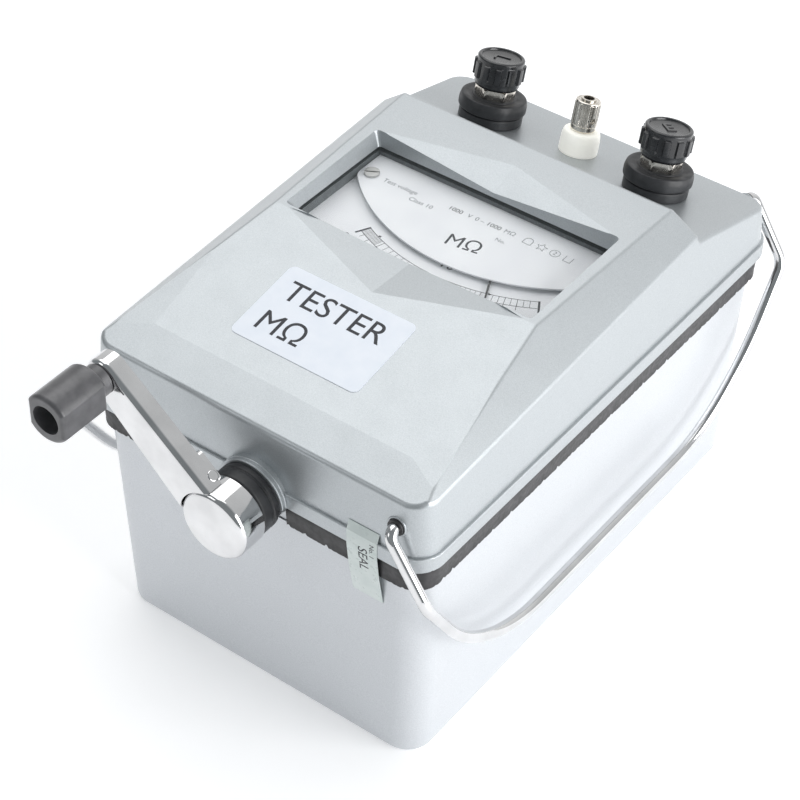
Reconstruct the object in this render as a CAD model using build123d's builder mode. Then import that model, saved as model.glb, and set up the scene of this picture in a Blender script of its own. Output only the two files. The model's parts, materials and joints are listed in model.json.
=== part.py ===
from build123d import *
import math
import os

# Hand-crank insulation resistance tester, in millimetres.
# +Z is up, -Y is the crank end, +Y the terminal end.
# The origin is the centre of the base face, on the surface it stands on.

os.makedirs("parts", exist_ok=True)

# ---- driving dimensions -------------------------------------------------
# case
base_w, base_l = 129.0, 203.0        # lower case at the floor
lip_w, lip_l = 134.6, 207.4          # lower case under the gasket band
case_h = 92.0                        # top of the lower case lip
case_r = 10.0                        # vertical corner radius
wall = 3.0                           # lower case wall and floor
gasket_z = (84.5, 94.5)              # rubber band between case and cover
cover_w, cover_l = 140.0, 213.0      # cover at the parting line
skirt_h = 6.0                        # thicker skirt along the parting line
skirt_step = 0.5
skirt_edge_r = 0.4                   # soft edges that catch the light along the skirt
parting_z = gasket_z[1]
cover_wall = 4.0
draft = 5.0                          # wall draft of the cover, degrees
crease_r = 2.0                       # soft casting radius along every crease

# side profile of the cover: (y, z) of each crease
rim_front = (-104.2, 120.4)
chin_top = (-89.6, 124.7)
block_front = (-25.0, 135.8)
ridge = (53.5, 137.3)
panel_front = (56.0, 126.6)
panel_rear = (112.0, 112.0)

# long side bevels: rim height along Y and slope of the bevel
rim_x = 67.6
rim_z0, rim_rise = 120.4, 0.052     # height at y = -100 and rise per mm
bevel_slope = 0.83
corner_facet = ((52.6, -89.6, 124.7), (57.8, -46.0, 132.2), (65.0, -97.4, 122.6))

# window
window_w = 98.0
window_y = (-20.0, 27.5)
recess_w = 103.0
recess_y = (-24.8, 29.2)
recess_top = 137.6
glass_z = (129.2, 131.2)
scoop_half = 48.5
scoop_apex_front, scoop_apex_rear = -41.2, 40.8
scoop_dip = 3.6
scoop_pad_z = 129.3                  # underside of the thicker metal below the scoops
scoop_pads = ((-40.0, -23.6), (31.4, 40.6))

# crank train
crank_x, crank_z = 3.0, 95.0
arm_angle = 138.2                    # direction of the arm from +X towards +Z
arm_length = 58.6
shaft_r = 5.0
boss_r = 13.2                        # half-round boss over the crank opening
ring_r = 12.5                        # black bush ring
pin_along = 13.2                     # cross pin, from the crank axis along the arm
gear_module = 0.8
wheel_teeth, pinion_teeth = 45, 15
gear_step = gear_module * (wheel_teeth + pinion_teeth) / 2
mid_z = crank_z - gear_step
rotor_z = mid_z - gear_step
plate_y = (-96.5, -76.0)             # front faces of the two gear plates
plate_t = 2.0
drive_y = (-93.0, -87.0)             # drive gear and middle pinion
second_y = (-85.0, -79.0)            # middle gear and rotor pinion
stator_y = (-64.0, -28.0)
end_plate_y = -20.0

# bails
bail_x, bail_z = 58.4, 110.8         # pivot axis, parallel to Y
bail_y = 109.6                       # arms, in front of and behind the cover
bail_end_y = 97.4                    # wire ends, sprung into the end walls
bail_wire = 2.1
bail_bar_x = 73.8                    # arms and bar, out past the skirt
bush_r = {"front": 2.9, "rear": 2.45}  # smaller at the rear, under the panel's low edge
# half of one bail, hanging: out past the skirt, then down to the bar
bail_bends = [
    (bail_x, bail_y, bail_z), (bail_bar_x, bail_y, 87.0), (bail_bar_x, 90.0, 57.0), (bail_bar_x, 62.0, 36.4)]
bail_radii = [3.5, 9.0, 70.0, 60.0]

# terminals, square to the sloping rear panel
terminal_xs = {"right": 35.2, "left": -36.4}
terminal_y, guard_y = 78.3, 82.0
collar_spigot_r, guard_spigot_r = 5.9, 3.9  # necks that pass through the panel

# meter
pivot_y = 44.0
pointer_length = 63.4
pointer_rest = 24.5                  # degrees towards +X from straight ahead
dial_z = 125.4                       # top of the scale plate
pin_hole_r = 0.7                     # pivots of the pointer spindle
pin_r = 0.6

# fasteners and running fits
post_r, screw_r = 6.0, 1.98          # screw posts in the case and their M4 screws
crank_hole_r = 11.5
clearance = 0.06                     # radial play of every shaft in its bore


# ---- small helpers ------------------------------------------------------
def facing_front(y):
    """Plane at the given y whose normal points to the crank end."""
    return Plane.XZ.offset(-y)


def save(part, name):
    part.label = name
    export_step(part, f"parts/{name}.step")


def line_height(start, end, y):
    """Height at y of the straight line between two (y, z) points."""
    return start[1] + (end[1] - start[1]) * (y - start[0]) / (end[0] - start[0])


def rod(radius, y_back, y_front, x=crank_x, z=crank_z, bore=0.0):
    """Round bar along Y, with an optional bore."""
    with BuildPart() as bar:
        with BuildSketch(facing_front(y_back)):
            with Locations((x, z)):
                Circle(radius)
                if bore:
                    Circle(bore, mode=Mode.SUBTRACT)
        extrude(amount=y_back - y_front)
    return bar.part


# ---- cover --------------------------------------------------------------
def bevel_plane(side, inset):
    """Long side bevel, moved inwards by inset."""
    low = Vector(side * rim_x, -100.0, rim_z0)
    along = Vector(0, 1, rim_rise)
    inward = Vector(-side, 0, bevel_slope)
    normal = along.cross(inward).normalized()
    if normal.Z < 0:
        normal = normal * -1
    return Plane(origin=low - normal * inset, z_dir=normal)


def corner_plane(side, inset):
    """Bright triangular facet at a front corner."""
    a, b, c = [Vector(side * x, y, z) for x, y, z in corner_facet]
    normal = (b - a).cross(c - a).normalized()
    if normal.Z < 0:
        normal = normal * -1
    return Plane(origin=a - normal * inset, z_dir=normal)


def cover_block(inset):
    """Outer form of the cover, or its cavity when inset is the wall."""
    start_z = parting_z if inset == 0 else parting_z - 2.0
    with BuildPart() as block:
        with BuildSketch(Plane.XY.offset(start_z)):
            RectangleRounded(cover_w - 2 * inset, cover_l - 2 * inset, case_r - inset / 2)
        extrude(amount=60, taper=draft)
        with BuildSketch(Plane.YZ):
            with BuildLine():
                Polyline(
                    (-130, parting_z - 30), (-130, line_height(rim_front, chin_top, -130)),
                    chin_top, block_front, ridge, panel_front, panel_rear,
                    (130, line_height(panel_front, panel_rear, 130)), (130, parting_z - 30),
                    close=True)
            make_face()
            if inset:
                offset(amount=-inset, kind=Kind.INTERSECTION, mode=Mode.REPLACE)
        extrude(amount=90, both=True, mode=Mode.INTERSECT)
        for side in (1, -1):
            split(bisect_by=bevel_plane(side, inset), keep=Keep.BOTTOM)
        if inset == 0:
            fillet(block.edges().filter_by(lambda e: min((e @ 0).Z, (e @ 1).Z) > start_z + 1), crease_r)
        for side in (1, -1):
            split(bisect_by=corner_plane(side, inset), keep=Keep.BOTTOM)
    return block.part


def scoop(side, apex_y, edge_y, edge_z, apex_z):
    """One triangular facet of the shallow scoop before or behind the window."""
    start = Vector(side * scoop_half, edge_y, edge_z)
    apex = Vector(0, apex_y, apex_z)
    valley = Vector(0, edge_y, edge_z - scoop_dip)
    beyond = apex + (valley - apex) * 1.5
    normal = (apex - start).cross(valley - start).normalized()
    if normal.Z < 0:
        normal = normal * -1
    facet = Plane(origin=start, x_dir=(apex - start).normalized(), z_dir=normal)
    corners = [facet.to_local_coords(p) for p in (start, apex, beyond)]
    with BuildPart() as cut:
        with BuildSketch(facet):
            with BuildLine():
                Polyline(*[(p.X, p.Y) for p in corners], close=True)
            make_face()
        extrude(amount=8)
    return cut.part


panel_slope = math.degrees(math.atan2(panel_front[1] - panel_rear[1], panel_rear[0] - panel_front[0]))


def panel_plane(x, y, lift=0.0):
    """Plane lying on the terminal panel at (x, y), with its normal leaving the panel."""
    z = line_height(panel_front, panel_rear, y)
    slope = math.radians(panel_slope)
    base = Plane(origin=(x, y, z), x_dir=(1, 0, 0), z_dir=(0, math.sin(slope), math.cos(slope)))
    return base.offset(lift)


boss_places = [(sx * 54.0, sy * 91.0) for sx in (1, -1) for sy in (1, -1)]
meter_bosses = [(54.0, 38.0), (-54.0, 38.0), (40.0, 65.0), (-40.0, 65.0)]
meter_frame_z = (98.5, 100.5)
meter_post_r = 3.5
frame_edge = 3.5                     # width of the bezel round the window
window_mid = sum(window_y) / 2
window_len = window_y[1] - window_y[0]
bail_hole_y = bail_end_y - 0.5       # inner end of the bail holes
collar_depth = 9.3                   # half-round collar, from y = -100 towards the crank

with BuildPart() as cavity:
    add(cover_block(cover_wall))
    with BuildSketch(Plane.XY.offset(glass_z[1])):
        with Locations((0, window_mid)):
            Rectangle(window_w + 2 * frame_edge, window_len + 2 * frame_edge)
    extrude(amount=20, mode=Mode.SUBTRACT)
    with BuildSketch(Plane.XY.offset(scoop_pad_z)):
        for y_low, y_high in scoop_pads:
            with Locations((0, (y_low + y_high) / 2)):
                Rectangle(2 * scoop_half, y_high - y_low)
    extrude(amount=20, mode=Mode.SUBTRACT)
    with BuildSketch(Plane.XY.offset(parting_z - 3)):
        with Locations(*boss_places):
            Circle(post_r - 0.5)
    extrude(amount=60, mode=Mode.SUBTRACT)
    with BuildSketch(Plane.XY.offset(meter_frame_z[1])):
        with Locations(*meter_bosses):
            Circle(meter_post_r)
    extrude(amount=60, mode=Mode.SUBTRACT)

with BuildPart() as skirt:
    with BuildSketch(Plane.XY.offset(parting_z)):
        RectangleRounded(cover_w + 2 * skirt_step, cover_l + 2 * skirt_step, case_r + skirt_step)
    extrude(amount=skirt_h)
    fillet(skirt.edges().group_by(Axis.Z)[-1], skirt_edge_r)
    fillet(skirt.edges().group_by(Axis.Z)[0], skirt_edge_r)

with BuildPart() as top_cover:
    add(cover_block(0))
    add(skirt.part)
    # half-round collar round the crank opening
    with BuildSketch(facing_front(-100)):
        with Locations((crank_x, crank_z)):
            Circle(boss_r)
        with Locations((crank_x, parting_z - 20)):
            Rectangle(60, 40, mode=Mode.SUBTRACT)
    extrude(amount=collar_depth)
    add(cavity.part, mode=Mode.SUBTRACT)
    # window recess: sloping walls from the block face down to the glass
    with BuildSketch(Plane.XY.offset(glass_z[1])):
        with Locations((0, window_mid)):
            RectangleRounded(window_w, window_len, 1.0)
    with BuildSketch(Plane.XY.offset(recess_top)):
        with Locations((0, sum(recess_y) / 2)):
            RectangleRounded(recess_w, recess_y[1] - recess_y[0], 2.0)
    loft(mode=Mode.SUBTRACT)
    for side in (1, -1):
        edge_z = line_height(chin_top, block_front, recess_y[0])
        apex_z = line_height(chin_top, block_front, scoop_apex_front)
        add(scoop(side, scoop_apex_front, recess_y[0], edge_z, apex_z), mode=Mode.SUBTRACT)
        edge_z = line_height(block_front, ridge, recess_y[1])
        apex_z = line_height(block_front, ridge, scoop_apex_rear)
        add(scoop(side, scoop_apex_rear, recess_y[1], edge_z, apex_z), mode=Mode.SUBTRACT)
    # crank opening, bail holes, screw bores and terminal holes
    with BuildSketch(facing_front(-90)):
        with Locations((crank_x, crank_z)):
            Circle(crank_hole_r)
    extrude(amount=30, mode=Mode.SUBTRACT)
    bail_holes = ((-bail_hole_y, -bail_y, bush_r["front"]), (bail_y, bail_hole_y, bush_r["rear"]))
    for y_back, y_front, radius in bail_holes:
        with BuildSketch(facing_front(y_back)):
            with Locations((bail_x, bail_z), (-bail_x, bail_z)):
                Circle(radius)
        extrude(amount=y_back - y_front, mode=Mode.SUBTRACT)
    with BuildSketch(Plane.XY.offset(parting_z)):
        with Locations(*boss_places):
            Circle(screw_r + 0.02)
    extrude(amount=11, mode=Mode.SUBTRACT)
    for x in terminal_xs.values():
        with BuildSketch(panel_plane(x, terminal_y, 1)):
            Circle(collar_spigot_r + 0.1)
        extrude(amount=-2 * cover_wall, mode=Mode.SUBTRACT)
    with BuildSketch(panel_plane(0, guard_y, 1)):
        Circle(guard_spigot_r + 0.1)
    extrude(amount=-2 * cover_wall, mode=Mode.SUBTRACT)
save(top_cover.part, "top_cover")


# ---- lower case ---------------------------------------------------------
def case_block(inset, z_low, z_high):
    """Tapered case body between two heights, moved inwards by inset."""
    with BuildPart() as block:
        for z in (z_low, z_high):
            part_way = z / gasket_z[0]
            width = base_w + (lip_w - base_w) * part_way
            length = base_l + (lip_l - base_l) * part_way
            with BuildSketch(Plane.XY.offset(z)):
                RectangleRounded(width - 2 * inset, length - 2 * inset, case_r - inset / 2)
        loft()
    return block.part


head_r, head_z = 3.8, (1.0, 3.5)     # case screw heads, sunk in the base

with BuildPart() as lower_case:
    add(case_block(0, 0, gasket_z[0]))
    fillet(lower_case.edges().group_by(Axis.Z)[0], 2.0)
    with BuildSketch(Plane.XY.offset(gasket_z[0])):
        RectangleRounded(lip_w - 1, lip_l - 1, case_r)
    extrude(amount=case_h - gasket_z[0])
    add(case_block(wall, wall, case_h + 1), mode=Mode.SUBTRACT)
    with BuildSketch(Plane.XY.offset(wall - 0.5)):
        with Locations(*boss_places):
            Circle(post_r)
    extrude(amount=case_h - wall + 0.5)
    with BuildSketch(Plane.XY):
        with Locations(*boss_places):
            Circle(screw_r + 0.22)
    extrude(amount=case_h, mode=Mode.SUBTRACT)
    with BuildSketch(Plane.XY):
        with Locations(*boss_places):
            Circle(head_r + 0.4)
    extrude(amount=head_z[1], mode=Mode.SUBTRACT)
    with BuildSketch(facing_front(-90)):
        with Locations((crank_x, crank_z)):
            Circle(crank_hole_r)
    extrude(amount=30, mode=Mode.SUBTRACT)
save(lower_case.part, "lower_case")

# rubber band gasket: outer band round the case lip and a web under the cover
band_inset = 0.8                     # the band stands this far inside the cover's edge
with BuildPart() as gasket:
    with BuildSketch(Plane.XY.offset(gasket_z[0])):
        RectangleRounded(cover_w - 2 * band_inset, cover_l - 2 * band_inset, case_r)
        RectangleRounded(lip_w - 1, lip_l - 1, case_r, mode=Mode.SUBTRACT)
    extrude(amount=case_h - gasket_z[0])
    with BuildSketch(Plane.XY.offset(case_h)):
        RectangleRounded(cover_w - 2 * band_inset, cover_l - 2 * band_inset, case_r)
        RectangleRounded(lip_w - 7, lip_l - 7, case_r - 3, mode=Mode.SUBTRACT)
    extrude(amount=gasket_z[1] - case_h)
    with BuildSketch(Plane.XY.offset(case_h - 1)):
        with Locations(*boss_places):
            Circle(post_r + 0.2)
    extrude(amount=10, mode=Mode.SUBTRACT)
    with BuildSketch(facing_front(-90)):
        with Locations((crank_x, crank_z)):
            Circle(crank_hole_r)
    extrude(amount=30, mode=Mode.SUBTRACT)
save(gasket.part, "gasket")

# four long screws from the base up into the cover bosses
screw_length = 100
with BuildPart() as case_screws:
    with BuildSketch(Plane.XY.offset(head_z[0])):
        with Locations(*boss_places):
            Circle(head_r)
    extrude(amount=head_z[1] - head_z[0])
    with BuildSketch(Plane.XY.offset(head_z[1])):
        with Locations(*boss_places):
            Circle(screw_r)
    extrude(amount=screw_length)
    # cross slot
    with BuildSketch(Plane.XY.offset(head_z[0])):
        with Locations(*boss_places):
            Rectangle(6.0, 1.0)
            Rectangle(1.0, 6.0)
    extrude(amount=1.4, mode=Mode.SUBTRACT)
save(case_screws.part, "case_screws")

# ---- window and meter ---------------------------------------------------
glass_lap = 2.5                      # how far the pane runs under the cover
with BuildPart() as window_glass:
    with BuildSketch(Plane.XY.offset(glass_z[0])):
        with Locations((0, window_mid)):
            RectangleRounded(window_w + 2 * glass_lap, window_len + 2 * glass_lap, 1.5)
    extrude(amount=glass_z[1] - glass_z[0])
save(window_glass.part, "window_glass")

dial_t = 0.8
dial_w, dial_y = 103.0, (-24.0, 33.5)
plate_z = (126.8, 127.4)             # raised arched plate over the pointer root
plate_fixings = [(-44.3, 17.0), (43.5, 16.0)]  # a screw on the left, a blind stud on the right
fixing_r = 1.2
bezel_gap = 0.3                      # the bezel's opening is this much wider than the window

# deep bezel from the scale plate up to the pane; its rear bar stops above the arched plate
with BuildPart() as window_frame:
    with BuildSketch(Plane.XY.offset(dial_z)):
        with Locations((0, window_mid)):
            RectangleRounded(window_w + 2 * frame_edge, window_len + 2 * frame_edge, 2)
            Rectangle(window_w + 2 * bezel_gap, window_len + 2 * bezel_gap, mode=Mode.SUBTRACT)
    extrude(amount=glass_z[0] - dial_z)
    with BuildSketch(Plane.XY.offset(dial_z)):
        with Locations((0, window_y[1] + frame_edge)):
            Rectangle(window_w + 2 * bezel_gap, 2 * frame_edge)
    extrude(amount=plate_z[1] - dial_z, mode=Mode.SUBTRACT)
save(window_frame.part, "window_frame")

with BuildPart() as dial_plate:
    with BuildSketch(Plane.XY.offset(dial_z - dial_t)):
        with Locations((0, sum(dial_y) / 2)):
            RectangleRounded(dial_w, dial_y[1] - dial_y[0], 2)
        with Locations(*plate_fixings):
            Circle(fixing_r + 0.1, mode=Mode.SUBTRACT)
    extrude(amount=dial_t)
save(dial_plate.part, "dial_plate")

plate_half, plate_rear = 48.8, 30.4
arc_centre, arc_r = (3.6, 62.5), 71.3
corner_at_screw = 4.5                # the left end is rounded round the screw


def arc_edge(x):
    """Front edge of the arched plate at x."""
    return arc_centre[1] - math.sqrt(arc_r ** 2 - (x - arc_centre[0]) ** 2)


with BuildPart() as dial_cover_plate:
    with BuildSketch(Plane.XY.offset(plate_z[0])):
        with BuildLine():
            left, right = (-plate_half, arc_edge(-plate_half)), (plate_half, arc_edge(plate_half))
            ThreePointArc(left, (arc_centre[0], arc_edge(arc_centre[0])), right)
            Polyline(right, (plate_half, plate_rear), (-plate_half, plate_rear), left)
        face = make_face()
        fillet(face.vertices().sort_by(Axis.X)[:2].sort_by(Axis.Y)[0], corner_at_screw)
        with Locations(plate_fixings[0]):
            Circle(fixing_r + 0.1, mode=Mode.SUBTRACT)
    extrude(amount=plate_z[1] - plate_z[0])
save(dial_cover_plate.part, "dial_cover_plate")

with BuildPart() as dial_spacers:
    with BuildSketch(Plane.XY.offset(dial_z)):
        with Locations(*plate_fixings):
            Circle(2 * fixing_r)
            Circle(fixing_r + 0.1, mode=Mode.SUBTRACT)
    extrude(amount=plate_z[0] - dial_z)
save(dial_spacers.part, "dial_spacers")

thread_z = 120.0                     # lower end of the dial's screw and stud
with BuildPart() as dial_screws:
    with BuildSketch(Plane.XY.offset(thread_z)):
        with Locations(*plate_fixings):
            Circle(fixing_r)
    extrude(amount=plate_z[0] - thread_z)
    with BuildSketch(Plane.XY.offset(plate_z[0])):
        with Locations(plate_fixings[0]):
            Circle(fixing_r)
    extrude(amount=plate_z[1] - plate_z[0])
    with BuildSketch(Plane.XY.offset(plate_z[1])):
        with Locations(plate_fixings[0]):
            Circle(2.8)
            Rectangle(5.6, 0.7, rotation=30, mode=Mode.SUBTRACT)
    extrude(amount=0.9)
save(dial_screws.part, "dial_screws")

meter_plate = (116.0, 62.0)
bridge_z = (127.8, 129.8)
bridge_posts = [(24, pivot_y), (-24, pivot_y)]
with BuildPart() as meter_frame:
    with BuildSketch(Plane.XY.offset(meter_frame_z[0])):
        with Locations((0, pivot_y - 4)):
            RectangleRounded(*meter_plate, 4)
        with Locations(*meter_bosses):
            Circle(1.6, mode=Mode.SUBTRACT)
    extrude(amount=meter_frame_z[1] - meter_frame_z[0])
    # upper bridge that carries the top pivot of the pointer spindle
    with BuildSketch(Plane.XY.offset(meter_frame_z[1])):
        with Locations(*bridge_posts):
            Rectangle(5, 6)
    extrude(amount=bridge_z[1] - meter_frame_z[1])
    with BuildSketch(Plane.XY.offset(bridge_z[0])):
        with Locations((0, pivot_y)):
            Rectangle(53, 6)
    extrude(amount=bridge_z[1] - bridge_z[0])
    with BuildSketch(Plane.XY.offset(meter_frame_z[0] + 1)):
        with Locations((0, pivot_y)):
            Circle(pin_hole_r)
    extrude(amount=40, mode=Mode.SUBTRACT)
save(meter_frame.part, "meter_frame")

with BuildPart() as meter_pillars:
    with BuildSketch(Plane.XY.offset(meter_frame_z[1])):
        with Locations(*plate_fixings):
            Circle(3.0)
    extrude(amount=dial_z - dial_t - meter_frame_z[1])
    with BuildSketch(Plane.XY.offset(thread_z - 1)):
        with Locations(*plate_fixings):
            Circle(fixing_r + 0.05)
    extrude(amount=10, mode=Mode.SUBTRACT)
save(meter_pillars.part, "meter_pillars")

magnet_foot = 3.0
magnet_z = (meter_frame_z[1] + magnet_foot, 121.0)
magnet_size = (40.0, 27.0)
magnet_bore, core_r = 11.6, 8.3
with BuildPart() as meter_magnet:
    with BuildSketch(Plane.XY.offset(magnet_z[0])):
        with Locations((0, pivot_y)):
            Rectangle(*magnet_size)
            Circle(magnet_bore, mode=Mode.SUBTRACT)
    extrude(amount=magnet_z[1] - magnet_z[0])
    with BuildSketch(Plane.XY.offset(meter_frame_z[1])):
        with Locations((17, pivot_y), (-17, pivot_y)):
            Rectangle(6, magnet_size[1])
    extrude(amount=magnet_foot)
save(meter_magnet.part, "meter_magnet")

# soft iron core, held between the poles by two bridges
with BuildPart() as pole_core:
    with BuildSketch(Plane.XY.offset(magnet_z[0] + 1)):
        with Locations((0, pivot_y)):
            Circle(core_r)
            Circle(1.0, mode=Mode.SUBTRACT)
        with Locations((0, pivot_y + 9.75), (0, pivot_y - 9.75)):
            Rectangle(3.0, 3.5)
    extrude(amount=magnet_z[1] - magnet_z[0] - 2)
save(pole_core.part, "pole_core")

# coil frame with its spindle, turned with the pointer
swing = Location((0, pivot_y, 0), (0, 0, pointer_rest))
with BuildPart() as moving_coil:
    with BuildSketch(Plane.XZ.offset(-1.5)):
        with Locations((0, 112.25)):
            RectangleRounded(21.2, 20.0, 2)
            RectangleRounded(18.0, 17.2, 1, mode=Mode.SUBTRACT)
    extrude(amount=3)
    with BuildSketch(Plane.XY.offset(meter_frame_z[1] - 0.5)):
        Circle(pin_r)
    extrude(amount=3.0)
    with BuildSketch(Plane.XY.offset(121.8)):
        Circle(pin_r)
    extrude(amount=7.0)
moving_coil.part.locate(swing)
save(moving_coil.part, "moving_coil")

pointer_z = 126.1
with BuildPart() as pointer:
    with BuildSketch(Plane.XY.offset(pointer_z)):
        Circle(2.6)
        with BuildLine():
            Polyline((-0.9, 4.5), (0.9, 4.5), (0.3, -pointer_length), (-0.3, -pointer_length), close=True)
        make_face()
        Circle(pin_r, mode=Mode.SUBTRACT)
    extrude(amount=0.5)
pointer.part.locate(swing)
save(pointer.part, "pointer")

# ---- crank bush, gears and generator ------------------------------------
bush_back, flange_back, bush_front = -97.0, -109.6, -117.0
with BuildPart() as crank_bush:
    add(rod(crank_hole_r - 0.1, bush_back, flange_back))
    add(rod(ring_r, flange_back, bush_front))
    add(rod(shaft_r + clearance, bush_back, bush_front), mode=Mode.SUBTRACT)
save(crank_bush.part, "crank_bush")

save(rod(shaft_r, -74.5, -125.4), "crank_shaft")


def involute(angle):
    return math.tan(angle) - angle


def gear(teeth, bore, x, z, y_back, y_front, tooth_at):
    """Spur gear along Y with involute flanks; tooth_at is one tooth's direction in degrees."""
    pitch_r = gear_module * teeth / 2
    pressure = math.radians(20)
    base_r = pitch_r * math.cos(pressure)
    tip_r = pitch_r + 0.85 * gear_module
    root_r = pitch_r - 1.25 * gear_module
    play = 0.07
    half_pitch = math.pi / (2 * teeth) - play / pitch_r
    start_r = max(base_r, root_r)
    steps = 5
    flank = []
    for i in range(steps):
        r = start_r + (tip_r - start_r) * i / (steps - 1)
        turn = half_pitch + involute(pressure) - involute(math.acos(min(1, base_r / r)))
        flank.append((r * math.cos(turn), r * math.sin(turn)))
    foot = (0.8 * root_r * math.cos(half_pitch), flank[0][1])
    with BuildSketch() as tooth:
        with BuildLine():
            Spline(*flank)
            Spline(*[(a, -b) for a, b in flank])
            Line(flank[-1], (flank[-1][0], -flank[-1][1]))
            Polyline(flank[0], foot, (foot[0], -foot[1]), (flank[0][0], -flank[0][1]))
        make_face()
    with BuildPart() as wheel:
        with BuildSketch(facing_front(y_back)):
            with Locations(Location((x, z), tooth_at)):
                Circle(root_r)
                with PolarLocations(0, teeth):
                    add(tooth.sketch)
                Circle(bore, mode=Mode.SUBTRACT)
        extrude(amount=y_back - y_front)
    return wheel.part


half_tooth = 180 / pinion_teeth
save(gear(wheel_teeth, shaft_r, crank_x, crank_z, drive_y[1], drive_y[0], -90), "drive_gear")
mid_r, rotor_shaft_r = 2.5, 3.0
save(gear(pinion_teeth, mid_r, crank_x, mid_z, drive_y[1], drive_y[0], 90 + half_tooth), "middle_pinion")
save(gear(wheel_teeth, mid_r, crank_x, mid_z, second_y[1], second_y[0], -90), "middle_gear")
save(
    gear(pinion_teeth, rotor_shaft_r, crank_x, rotor_z, second_y[1], second_y[0], 90 + half_tooth),
    "rotor_pinion")
save(rod(mid_r, -74.2, -96.3, z=mid_z), "middle_shaft")
save(rod(rotor_shaft_r, -18.2, -96.3, z=rotor_z), "rotor_shaft")

plate_w = 54.0
spacer_places = [(crank_x - 22, 12), (crank_x + 22, 12), (crank_x - 22, 105), (crank_x + 22, 105)]


def gear_plate(y_front, top, bores):
    """Upright steel plate with its bearing bores."""
    with BuildPart() as plate:
        with BuildSketch(facing_front(y_front + plate_t)):
            with Locations((crank_x, (wall + top) / 2)):
                RectangleRounded(plate_w, top - wall, 3)
            for z, radius in bores:
                with Locations((crank_x, z)):
                    Circle(radius, mode=Mode.SUBTRACT)
        extrude(amount=plate_t)
    return plate.part


gear_plate_top, end_plate_top = 111.0, 80.0
bores = [(crank_z, shaft_r + clearance), (mid_z, mid_r + clearance), (rotor_z, rotor_shaft_r + clearance)]
save(gear_plate(plate_y[0], gear_plate_top, bores), "gear_plate_front")
save(gear_plate(plate_y[1], gear_plate_top, bores), "gear_plate_rear")
save(gear_plate(end_plate_y, end_plate_top, bores[2:]), "generator_end_plate")

with BuildPart() as plate_spacers:
    with BuildSketch(facing_front(plate_y[1])):
        with Locations(*spacer_places):
            Circle(3)
    extrude(amount=plate_y[1] - plate_y[0] - plate_t)
save(plate_spacers.part, "plate_spacers")

stator_r, stator_bore, slot_ring, slots = 28.0, 15.6, 21.5, 8
winding_r, end_turns = (17.0, 26.0), 5.0
with BuildPart() as generator_stator:
    with BuildSketch(facing_front(stator_y[1])):
        with Locations((crank_x, rotor_z)):
            Circle(stator_r)
            Circle(stator_bore, mode=Mode.SUBTRACT)
            with PolarLocations(slot_ring, slots):
                Circle(3.6, mode=Mode.SUBTRACT)
    extrude(amount=stator_y[1] - stator_y[0])
save(generator_stator.part, "generator_stator")

with BuildPart() as stator_coils:
    with BuildSketch(facing_front(stator_y[1])):
        with Locations((crank_x, rotor_z)):
            with PolarLocations(slot_ring, slots):
                Circle(3.5)
    extrude(amount=stator_y[1] - stator_y[0])
    for y_back in (stator_y[1] + end_turns, stator_y[0]):
        with BuildSketch(facing_front(y_back)):
            with Locations((crank_x, rotor_z)):
                Circle(winding_r[1])
                Circle(winding_r[0], mode=Mode.SUBTRACT)
        extrude(amount=end_turns)
save(stator_coils.part, "stator_coils")

with BuildPart() as generator_rotor:
    with BuildSketch(facing_front(stator_y[1])):
        with Locations((crank_x, rotor_z)):
            Circle(15.0)
            with PolarLocations(16.5, 4, start_angle=45):
                Rectangle(4, 7, mode=Mode.SUBTRACT)
            Circle(rotor_shaft_r, mode=Mode.SUBTRACT)
    extrude(amount=stator_y[1] - stator_y[0])
save(generator_rotor.part, "generator_rotor")

cradle_top = 42.0
with BuildPart() as generator_cradle:
    with BuildSketch(facing_front(-32)):
        with Locations((crank_x, (wall + cradle_top) / 2)):
            Rectangle(64, cradle_top - wall)
        with Locations((crank_x, rotor_z)):
            Circle(stator_r, mode=Mode.SUBTRACT)
    extrude(amount=28)
save(generator_cradle.part, "generator_cradle")

# ---- crank hub, arm and grip --------------------------------------------
hub_front, hub_back, hub_r = -128.3, -117.6, 12.9
hub_edge_r, arm_edge_r = 2.0, 1.9    # rolled edges of the plated pieces
arm_dir = (math.cos(math.radians(arm_angle)), 0, math.sin(math.radians(arm_angle)))


def arm_plane(y, along=0.0):
    """Plane at y with its local x running along the arm, starting on the crank axis."""
    origin = (crank_x + along * arm_dir[0], y, crank_z + along * arm_dir[2])
    return Plane(origin=origin, x_dir=arm_dir, z_dir=(0, -1, 0))


cross_pin_r = 2.0
pin_plane = Plane(origin=arm_plane(-121.8, pin_along).origin, z_dir=arm_plane(0).y_dir)

with BuildPart() as crank_hub:
    with BuildSketch(arm_plane(hub_back)):
        Circle(hub_r)
    extrude(amount=hub_back - hub_front)
    fillet(crank_hub.edges().filter_by(GeomType.CIRCLE).group_by(Axis.Y)[0], hub_edge_r)
    with BuildSketch(arm_plane(hub_back - 0.6)):
        with Locations((14.5, 0)):
            RectangleRounded(15, 12.8, 2)
    extrude(amount=6.4)
    with BuildSketch(arm_plane(hub_back)):
        Circle(shaft_r)
    extrude(amount=7.8, mode=Mode.SUBTRACT)
    with BuildSketch(pin_plane):
        Circle(cross_pin_r)
    extrude(amount=20, both=True, mode=Mode.SUBTRACT)
save(crank_hub.part, "crank_hub")

sheet = 1.4                          # thickness of the pressed steel arm
arm_half_root, arm_half_tip = 9.0, 6.4
arm_start = 4.0
flange_depth = 7.2
spindle_r = 2.5                      # grip spindle, riveted in the arm's tip
pin_half = 8.7                       # half of the cross pin, peened flush with the arm's flanges


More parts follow.
